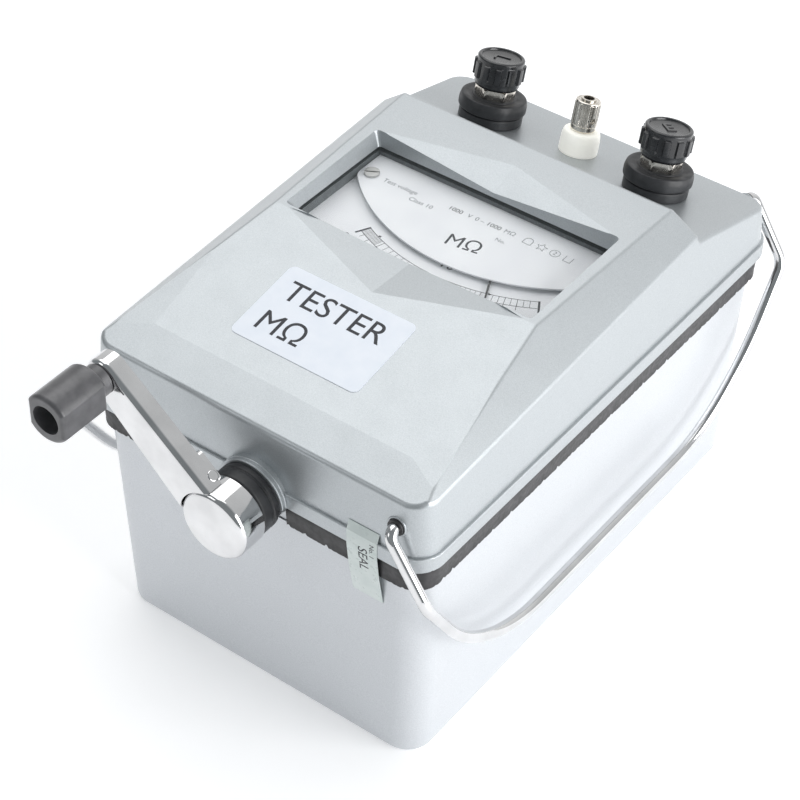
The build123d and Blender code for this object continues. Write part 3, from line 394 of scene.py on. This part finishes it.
# %% Spin a profile
def softened(points, radius):
    """The profile with its inner corners rounded by about radius, in mm."""
    line = [points[0]]
    for before, corner, after in zip(points, points[1:], points[2:]):
        corner_v = Vector(corner)
        to_before, to_after = Vector(before) - corner_v, Vector(after) - corner_v
        reach = min(radius, to_before.length * 0.45, to_after.length * 0.45)
        start = corner_v + to_before.normalized() * reach
        end = corner_v + to_after.normalized() * reach
        for t in (0, 0.25, 0.5, 0.75, 1):
            line.append(tuple(start * (1 - t) ** 2 + corner_v * 2 * t * (1 - t) + end * t * t))
    line.append(points[-1])
    return line


def lathe(shape, profile, place, segments=96, outline=None, closed=False):
    """Spins (radius, height) points, in mm, about the local Z axis of place."""
    rings = []
    for radius, level in profile:
        if radius == 0:
            rings.append([shape.verts.new(place @ Vector((0, 0, level * MM)))])
            continue
        ring = []
        for step in range(segments):
            angle = math.tau * step / segments
            reach = (outline(radius, level, angle) if outline else radius) * MM
            point = Vector((reach * math.cos(angle), reach * math.sin(angle), level * MM))
            ring.append(shape.verts.new(place @ point))
        rings.append(ring)
    pairs = list(zip(rings, rings[1:])) + ([(rings[-1], rings[0])] if closed else [])
    for low, high in pairs:
        for step in range(segments):
            after = (step + 1) % segments
            corners = [
                low[step % len(low)], low[after % len(low)],
                high[after % len(high)], high[step % len(high)]]
            shape.faces.new(list(dict.fromkeys(corners)))


def piece(name, shape, finish, body, slot_name, *stands_for):
    """Turns a bmesh into a smooth-shaded piece that rides on a body."""
    bmesh.ops.recalc_face_normals(shape, faces=shape.faces)
    mesh = bpy.data.meshes.new(name)
    shape.to_mesh(mesh)
    shape.free()
    mesh.shade_smooth()
    mesh.set_sharp_from_angle(angle=math.radians(38))
    mesh.materials.append(finish)
    made = bpy.data.objects.new(name, mesh)
    bpy.context.scene.collection.objects.link(made)
    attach(made, body)
    if stands_for:
        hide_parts(*stands_for)
    print(f"{name}: {len(mesh.polygons)} faces")
    return made


def axes(origin, z_axis, x_axis=Vector((1, 0, 0))):
    """A placing matrix whose local Z is z_axis."""
    z_axis = Vector(z_axis).normalized()
    y_axis = z_axis.cross(x_axis).normalized()
    frame_axes = Matrix((y_axis.cross(z_axis), y_axis, z_axis)).transposed().to_4x4()
    return Matrix.Translation(Vector(origin)) @ frame_axes


# %% [markdown]
# ## Rubber band between the halves
# A moulded rubber band seals the case. Its lower lip was torn off its sprue and never trimmed, so
# the edge wanders and has small tears, while the upper edge sits neatly under the cover. Cutting
# a clean extrusion would lose that. Here the band is swept column by column round the case, and
# each column's lower edge is lifted by noise of two sizes.

# %% Sweep the rubber band
from mathutils import noise

band_low, band_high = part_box("gasket")
crank_axis = Vector(joints["crank_turn"]["pos_m"])
corner = 10.0 * MM
bush_gap = 11.55 * MM


def band_route(step):
    """Points round the band, anticlockwise from the right of the crank to its left, with normals."""
    half_w, half_l = band_high.x - corner, band_high.y - corner
    legs = [
        ((half_w, -half_l), -90), ((half_w, half_l), 0),
        ((-half_w, half_l), 90), ((-half_w, -half_l), 180)]
    spots = [(Vector((crank_axis.x + bush_gap, -half_l - corner)), Vector((0, -1)))]
    for (x, y), start in legs:
        for turned in range(0, 91, 5):
            angle = math.radians(start + turned)
            out = Vector((math.cos(angle), math.sin(angle)))
            spots.append((Vector((x, y)) + out * corner, out))
    spots.append((Vector((crank_axis.x - bush_gap, -half_l - corner)), Vector((0, -1))))
    route = []
    for (a, out_a), (b, out_b) in zip(spots, spots[1:]):
        pieces_here = max(1, round((b - a).length / step))
        for k in range(pieces_here):
            t = k / pieces_here
            route.append((a.lerp(b, t), out_a.lerp(out_b, t).normalized()))
    route.append(spots[-1])
    return route


def torn(distance):
    """How far the lower edge is torn away at this distance along the band, in mm."""
    wander = 0.5 + 0.5 * noise.noise(Vector((distance / 14, 0.3, 0)))
    nibble = max(0.0, noise.noise(Vector((distance / 1.7, 5.1, 0)))) ** 1.2
    return 0.45 * wander + 2.0 * nibble


shape = bmesh.new()
columns = []
travelled = 0.0
last = None
for spot, out in band_route(0.55 * MM):
    travelled += (spot - last).length / MM if last else 0
    last = spot
    low = band_low.z / MM + torn(travelled)
    swell = 0.12 * noise.noise(Vector((travelled / 6, 9.2, 0)))
    profile = [
        (-2.2, low + 0.3), (-0.75, low), (-0.42, low + 0.22), (-0.50, low + 0.6), (-0.35 + swell, 88.3),
        (-0.14, 91.4), (-0.10, 93.4), (-0.45, 94.1), (-0.55, 94.45), (-2.2, 94.45)]
    columns.append([
        shape.verts.new((*(spot + out * offset * MM), level * MM)) for offset, level in profile])
for left, right_column in zip(columns, columns[1:]):
    for row in range(len(left)):
        nxt = (row + 1) % len(left)
        shape.faces.new((left[row], right_column[row], right_column[nxt], left[nxt]))
shape.faces.new(columns[0])
shape.faces.new(columns[-1])
piece("rubber_band", shape, rubber, "case", "black_rubber", "gasket")

# %% [markdown]
# ## Line and earth terminals
# Each big terminal is a stack on a threaded stud: a black moulded collar that keeps the high
# voltage away from the case, a thin plated nut that clamps it, and a fluted knob that screws down
# on a lead. A knob's ribs stop short of both ends, so the outline rule fades them in and out with
# height. The cap has a sunk disc with the usual letter for line or earth.

# %% Stack the terminals
panel_gap = 15.0 * MM                # the joints sit this far above the panel, along the studs
panel_normal = Vector(joints["right_knob_turn"]["axis"]).normalized()
terminal_place = {
    side: axes(Vector(joints[name]["pos_m"]) - panel_normal * panel_gap, panel_normal)
    for side, name in (("right", "right_knob_turn"), ("left", "left_knob_turn"), ("guard", "guard_nut_turn"))}

collar_profile = softened([
    (3.05, 0.0), (11.9, 0.0), (11.9, 3.5), (11.3, 3.9), (11.3, 4.2), (12.6, 4.5), (12.65, 7.2), (12.1, 9.3),
    (10.8, 9.4), (9.4, 9.1), (8.3, 9.0), (8.1, 9.4), (3.05, 9.4)], 0.5)
shape = bmesh.new()
for side in ("right", "left"):
    lathe(shape, collar_profile, terminal_place[side], 128, closed=True)
piece("terminal_collar_pair", shape, dull_moulding, "case", "black_phenolic", "terminal_collars")


def hexagon(radius, level, angle):
    """Six flats, with the corners turned off where the radius is small."""
    across = 6.49 / math.cos((angle + math.pi / 6) % (math.pi / 3) - math.pi / 6)
    return min(across, radius)


nut_profile = [(3.1, 9.42), (6.9, 9.42), (7.5, 9.8), (7.5, 12.4), (6.9, 12.78), (4.0, 12.78), (3.1, 12.3)]
shape = bmesh.new()
for side in ("right", "left"):
    lathe(shape, nut_profile, terminal_place[side], 96, hexagon, closed=True)
piece("terminal_nut_pair", shape, nickel, "case", "nickel", "terminal_nuts")

# %% Mould the fluted knobs
ribs = 12
rib_low, rib_high = 16.3, 22.3       # the ribs' ends, in mm above the panel
rib_height = 0.85


def fade(value, start, width):
    """0 before start, 1 after start + width, smooth between."""
    t = min(1.0, max(0.0, (value - start) / width))
    return t * t * (3 - 2 * t)


def ribbed(radius, level, angle):
    """Stands the ribs out of the knob's side."""
    along = fade(level, rib_low, 0.35) * (1 - fade(level, rib_high, 0.45))
    across = fade(math.cos(ribs * angle), -0.15, 0.45)
    return radius + rib_height * along * across if radius > 8 else radius


knob_profile = softened([
    (4.7, 22.0), (4.7, 13.25), (7.9, 13.25), (8.35, 14.2), (8.5, 15.6), (8.7, 16.25), (8.7, 16.7),
    (8.7, 19.3), (8.72, 22.2), (8.75, 22.8), (8.75, 24.2), (8.2, 24.6), (7.4, 24.6), (7.1, 23.9),
    (6.9, 23.85)], 0.3)
knob_profile = [(0, 22.0)] + knob_profile + [(0, 23.85)]
disc_level, letter_size = 23.8, 8.5  # the sunk disc's face and its letter, in mm
letter_turn = {"right": 52, "left": -72}


def stamp(shape, words, size, place, depth=0.02, centre=True):
    """Adds lettering of the given size, in mm, as thin solid letters lying on place."""
    lettering = bpy.data.curves.new("lettering", "FONT")
    lettering.body = words
    lettering.size = size * MM
    lettering.extrude = depth * MM / 2
    lettering.resolution_u = 4
    if centre:
        lettering.align_x = "CENTER"
        lettering.align_y = "CENTER"
    holder = bpy.data.objects.new("lettering", lettering)
    mesh = bpy.data.meshes.new_from_object(holder)
    mesh.transform(place @ Matrix.Translation((0, 0, depth * MM / 2)))
    shape.from_mesh(mesh)
    bpy.data.meshes.remove(mesh)
    bpy.data.objects.remove(holder)
    bpy.data.curves.remove(lettering)


for side, letter in (("right", "E"), ("left", "L")):
    shape = bmesh.new()
    lathe(shape, knob_profile, terminal_place[side], 288, ribbed)
    disc = Matrix.Translation((0, 0, disc_level * MM))
    disc = disc @ Matrix.Rotation(math.radians(letter_turn[side]), 4, "Z")
    stamp(shape, letter, letter_size, terminal_place[side] @ disc, depth=0.4)
    piece(f"fluted_knob_{side}", shape, moulding, f"{side}_knob", "black_phenolic", f"knob_{side}")

# %% [markdown]
# ## Guard terminal
# The small middle terminal is a white nylon foot with a knurled nut on it. The nut has a straight
# knurl with a plain band below, and a cross hole for a bare wire. The knurl is an outline rule
# again, with many fine teeth.

# %% Knurl the guard nut
knurls = 26


def knurled(radius, level, angle):
    """Fine straight teeth between the plain bands."""
    along = fade(level, 11.0, 0.3) * (1 - fade(level, 19.2, 0.3))
    return radius - 0.26 * along * fade(math.cos(knurls * angle), -0.6, 1.2) if radius > 4.5 else radius


nut_side = softened([
    (3.68, 9.0), (4.4, 9.0), (4.6, 9.25), (4.6, 10.9), (4.74, 11.1), (4.74, 15.0), (4.74, 19.3), (4.62, 19.6),
    (4.5, 20.2), (4.1, 20.4), (3.68, 20.4)], 0.15)
shape = bmesh.new()
lathe(shape, nut_side, terminal_place["guard"], 312, knurled, closed=True)
guard_nut = piece("knurled_guard_nut", shape, nickel, "guard_knob", "nickel", "guard_nut")
nodes["guard_insert"].data.materials[0] = nickel


def drilled(made, radius, place, depth):
    """Drills a round hole, in mm, along the local Z axis of place."""
    shape = bmesh.new()
    lathe(shape, [(0, 0), (radius, 0), (radius, depth), (0, depth)], place, 32)
    bmesh.ops.recalc_face_normals(shape, faces=shape.faces)
    mesh = bpy.data.meshes.new("drill")
    shape.to_mesh(mesh)
    shape.free()
    drill = bpy.data.objects.new("drill", mesh)
    bpy.context.scene.collection.objects.link(drill)
    cut = made.modifiers.new("hole", "BOOLEAN")
    cut.object = drill
    cut.solver = "EXACT"
    bpy.context.view_layer.update()
    finished = bpy.data.meshes.new_from_object(made.evaluated_get(bpy.context.evaluated_depsgraph_get()))
    made.modifiers.clear()
    made.data = finished
    bpy.data.objects.remove(drill)


hole_level, hole_radius = 13.6, 1.1
hole_turn = -20                      # degrees round the nut, towards the crank
drill_start, drill_depth = 3.4, 3.0  # from the nut's axis: one wall only, clear of the insert
hole_place = terminal_place["guard"] @ Matrix.Translation((0, 0, hole_level * MM))
hole_place = hole_place @ Matrix.Rotation(math.radians(hole_turn), 4, "Z")
hole_place = hole_place @ Matrix.Rotation(math.radians(90), 4, "Y")
drilled(guard_nut, hole_radius, hole_place @ Matrix.Translation((0, 0, drill_start * MM)), drill_depth)

foot_profile = softened([
    (2.85, 0.0), (7.1, 0.0), (7.22, 0.6), (7.15, 6.0), (6.6, 8.6), (4.2, 8.6), (3.9, 8.2), (2.85, 8.2)], 1.1)
shape = bmesh.new()
lathe(shape, foot_profile, terminal_place["guard"], 96, closed=True)
# the foot's nylon finish carries a painted glow
piece("guard_foot", shape, nylon_with_painted_glow, "case", "white_nylon", "guard_insulator")

# %% [markdown]
# ## Crank bush and casting lips
# The crank's shaft turns in a black moulded bush with a grooved flange. Round it, the cover is
# cast into a half-round collar with two fine raised lips, and each bail hole has a lip too: a
# founder adds them so that a drilled or filed edge never shows.

# %% Turn the bush
def crank_place():
    """Placing on the crank axis, with heights measured towards the crank end."""
    return axes((crank_axis.x, 0, crank_axis.z), (0, -1, 0))


bush_profile = softened([
    (5.08, 97.2), (11.3, 97.2), (11.3, 109.7), (12.4, 109.7), (12.4, 111.6), (12.0, 111.9),
    (12.0, 112.3), (12.4, 112.6), (12.4, 116.3), (11.8, 117.0), (10.9, 117.0), (10.5, 116.2),
    (6.4, 116.0), (5.08, 116.0)], 0.3)
shape = bmesh.new()
lathe(shape, bush_profile, crank_place(), 144, closed=True)
piece("grooved_bush", shape, dull_moulding, "case", "black_phenolic", "crank_bush")


# %% Cast the lips
def bead(shape, centre, normal, ring_radius, bead_radius, start, end, steps=64, sides=10):
    """A round bead along an arc, in mm and degrees, about normal."""
    place = axes(centre, normal)
    whole = end - start >= 360
    rings = []
    for k in range(steps if whole else steps + 1):
        angle = math.radians(start + (end - start) * k / steps)
        ring = []
        for j in range(sides):
            around = math.tau * j / sides
            reach = (ring_radius + bead_radius * math.cos(around)) * MM
            lift = bead_radius * MM * math.sin(around)
            point = Vector((reach * math.cos(angle), reach * math.sin(angle), lift))
            ring.append(shape.verts.new(place @ point))
        rings.append(ring)
    pairs = list(zip(rings, rings[1:])) + ([(rings[-1], rings[0])] if whole else [])
    for one, two in pairs:
        for j in range(sides):
            after = (j + 1) % sides
            shape.faces.new((one[j], two[j], two[after], one[after]))
    if not whole:
        shape.faces.new(rings[0])
        shape.faces.new(rings[-1])


collar_lips = ((-108.8, 12.9, 0.5), (-107.3, 13.05, 0.4))   # y, lip radius and bead radius, in mm
shape = bmesh.new()
for y, ring_radius, bead_radius in collar_lips:
    bead(shape, (crank_axis.x, y * MM, crank_axis.z), (0, -1, 0), ring_radius, bead_radius, 2, 178)
wall_at_parting = 106.5 * MM         # the end walls lean in from here by the casting's draft
draft = math.radians(5)
parting_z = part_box("gasket")[1].z
front_lip, rear_lip, hole_bead = 3.25, 2.75, 0.42
for name in ("right_bail_swing", "left_bail_swing"):
    pivot = Vector(joints[name]["pos_m"])
    wall_y = -wall_at_parting + (pivot.z - parting_z) * math.tan(draft)
    for end, lip_radius in ((1, front_lip), (-1, rear_lip)):
        outward = (0, -math.cos(draft) * end, math.sin(draft))
        bead(shape, (pivot.x, wall_y * end, pivot.z), outward, lip_radius, hole_bead, 0, 360)
piece("casting_lips", shape, paint, "case", "paint")

# %% [markdown]
# ## The printed scale
# The scale is printed on white enamel, and the plate over the pointer's root carries the rest:
# a line of small type, a few round symbols and a large unit. Print has almost no thickness, so
# each mark is a real but very thin strip or letter, two hundredths of a millimetre deep. Strips
# follow a list of points, and the arcs and ticks of the scale come from loops, as the maker's
# dividing engine would cut them.

# %% Strips for lines and outlines
def strip(shape, points, width, place, depth=0.02):
    """A thin line through (x, y) points, in mm, lying on place."""
    for start, end in zip(points, points[1:]):
        start_v, end_v = Vector((*start, 0)), Vector((*end, 0))
        along = (end_v - start_v).normalized()
        side_step = Vector((-along.y, along.x, 0)) * width / 2
        overlap = along * width * 0.3
        flat = [start_v - overlap - side_step, end_v + overlap - side_step,
                end_v + overlap + side_step, start_v - overlap + side_step]
        low = [shape.verts.new(place @ (corner_at * MM)) for corner_at in flat]
        high = [shape.verts.new(place @ ((corner_at + Vector((0, 0, depth))) * MM)) for corner_at in flat]
        shape.faces.new(low[::-1])
        shape.faces.new(high)
        for k in range(4):
            shape.faces.new((low[k], low[(k + 1) % 4], high[(k + 1) % 4], high[k]))


def arc_points(centre, radius, start, end, steps=24):
    """Points along an arc, in mm; 0 degrees is straight ahead, towards the crank, and + is right."""
    turns = [math.radians(start + (end - start) * k / steps) for k in range(steps + 1)]
    return [(centre[0] + radius * math.sin(turn), centre[1] - radius * math.cos(turn)) for turn in turns]


def lying(level_z, x=0.0, y=0.0, turned=0.0):
    """A place lying flat at a height in metres, moved in mm and turned in degrees."""
    return Matrix.Translation((x * MM, y * MM, level_z)) @ Matrix.Rotation(math.radians(turned), 4, "Z")


# %% Print the scale
scale_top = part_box("dial_plate")[1].z + 0.005 * MM
scale_centre = (4.8, 57.0)
band_inner, band_outer = 70.8, 74.4
scale_from, scale_to = -27.0, 31.0
on_scale = lying(scale_top)
tick_turns = [scale_from + 0.5 * k for k in range(1, 15)]
tick_turns += [-19 + 2.1 * k for k in range(1, 9)]
tick_turns += [1.5 * k for k in range(0, 10)]
tick_turns += [15 + 1.7 * k for k in range(0, 9)]
long_turns = (-25.0, -22.5, -19.0, -10.6, 0.0, 9.0, 15.0, 21.8, 25.2)


def tick_mark(shape, turn, reach, width):
    """One tick, from the inner arc of the band out to reach."""
    ends = [arc_points(scale_centre, radius, turn, turn, 1)[0] for radius in (band_inner, reach)]
    strip(shape, ends, width, on_scale)


shape = bmesh.new()
for radius in (band_inner, band_outer):
    strip(shape, arc_points(scale_centre, radius, scale_from, scale_to, 72), 0.22, on_scale)
for turn in tick_turns:
    tick_mark(shape, turn, band_outer, 0.16)
for turn in long_turns:
    tick_mark(shape, turn, band_outer + 2.0, 0.20)
for turn in (scale_from, scale_to):
    tick_mark(shape, turn, band_outer + 2.0, 0.75)
for x, y in ((-21.8, -8.0), (25.8, -10.6)):
    strip(shape, [(x - 0.3, y), (x + 0.3, y)], 0.7, on_scale)
stamp(shape, "10", 5.8, lying(scale_top, 2.9, -8.6, 4), centre=False)
stamp(shape, "∞", 5.2, lying(scale_top, -33.6, -15.0, -24), centre=False)
piece("scale_print", shape, ink, "case", "black_paint")

# %% Print the plate over the pointer
plate_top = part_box("dial_cover_plate")[1].z + 0.005 * MM
row_turn = 2.2
small_type = 2.9


def on_row(x):
    """A place on the row of small type, which climbs slightly to the right."""
    return lying(plate_top, x, 15.8 + (x + 39.3) * math.tan(math.radians(row_turn)), row_turn)


shape = bmesh.new()
for words, x in (("1000", -11.4), ("1000", 4.3)):
    stamp(shape, words, small_type, on_row(x), centre=False)
stamp(shape, "MΩ", 8.8, lying(plate_top, -1.6, 0.3, 9.0), centre=False)
piece("plate_print_black", shape, ink, "case", "black_paint")

shape = bmesh.new()
for words, x in (("Test voltage", -38.8), ("V", -3.6), ("0 –", -0.4), ("MΩ", 11.4)):
    stamp(shape, words, small_type, on_row(x), centre=False)
stamp(shape, "Class 10", small_type, lying(plate_top, -25.4, 12.6, row_turn), centre=False)
stamp(shape, "No.", 2.6, lying(plate_top, 11.6, 12.2, row_turn), centre=False)
# four small symbols in a row: arch, star, ringed figure, bracket
symbol_y = 18.8
arch = [(-1.6, -1.6), (1.6, -1.6), (1.6, 0.2)] + [
    (1.6 * math.cos(math.pi * k / 10), 0.2 + 1.6 * math.sin(math.pi * k / 10)) for k in range(1, 10)]
strip(shape, arch + [(-1.6, 0.2), (-1.6, -1.6)], 0.25, lying(plate_top, 21.3, symbol_y))
star = []
for k in range(11):
    reach = 0.95 if k % 2 else 2.1   # notches and tips
    star.append((reach * math.sin(math.pi * k / 5), reach * math.cos(math.pi * k / 5)))
strip(shape, star, 0.22, lying(plate_top, 26.8, symbol_y))
ring = arc_points((0, 0), 1.8, 0, 360, 28)
strip(shape, ring, 0.22, lying(plate_top, 32.2, symbol_y))
stamp(shape, "2", 2.6, lying(plate_top, 32.2, symbol_y))
strip(shape, [(-1.4, 1.5), (-1.4, -1.5), (1.4, -1.5), (1.4, 1.5)], 0.25, lying(plate_top, 37.6, symbol_y))
piece("plate_print_grey", shape, grey_ink, "case", "black_paint")

# %% [markdown]
# ## Label and seal
# A white sticker on the slope names the instrument in two lines, and a shiny strip is pasted over
# the joint between the halves, so that nobody opens the case unseen. The sticker is flat, so its
# letters lie on its top face. The strip is bent over four edges, so its letters are made flat and
# then each point is laid along the bent line.

# %% Letter the label
upward = [face for face in nodes["label"].data.polygons if face.normal.z > 0]
top_face = max(upward, key=lambda face: face.area)
label_low, label_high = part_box("label")
label_left = label_low.x + 5.0 * MM
label_middle = (label_low + label_high) / 2
label_normal = top_face.normal.copy()
label_lift = (Vector(top_face.center) - label_middle).dot(label_normal) + 0.005 * MM
label_place = axes(label_middle + label_normal * label_lift, label_normal)
label_type = 12.4
shape = bmesh.new()
for words, line_y in (("TESTER", 3.2), ("MΩ", -11.6)):
    line_place = label_place @ Matrix.Translation(((label_left - label_middle.x), line_y * MM, 0))
    stamp(shape, words, label_type, line_place, depth=0.03, centre=False)
piece("label_print", shape, ink, "case", "black_paint")

# %% Letter the seal
seal_low, seal_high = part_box("seal_sticker")
seal_fold = [(-105.95, 103.9), (-107.25, 100.6), (-107.25, 94.4), (-106.05, 84.3), (-103.7, 71.5)]


def along_seal(distance):
    """The point at a distance down the bent strip, in mm, and the outward direction there."""
    for start, end in zip(seal_fold, seal_fold[1:]):
        run = Vector(end) - Vector(start)
        if distance <= run.length or end == seal_fold[-1]:
            spot = Vector(start) + run.normalized() * distance
            return spot, Vector((run.y, -run.x)).normalized()
        distance -= run.length


flat_print = bmesh.new()
stamp(flat_print, "SEAL", 5.2, lying(0, 8.0, 4.6), depth=0.03, centre=False)
stamp(flat_print, "No. 1", 2.6, lying(0, 5.0, 9.0), depth=0.03, centre=False)
for vert in flat_print.verts:
    down, across, lift = vert.co / MM
    spot, outward = along_seal(down)
    vert.co = Vector((seal_low.x / MM + across, *(spot + outward * (lift + 0.005)))) * MM
piece("seal_print", flat_print, ink, "case", "black_paint")
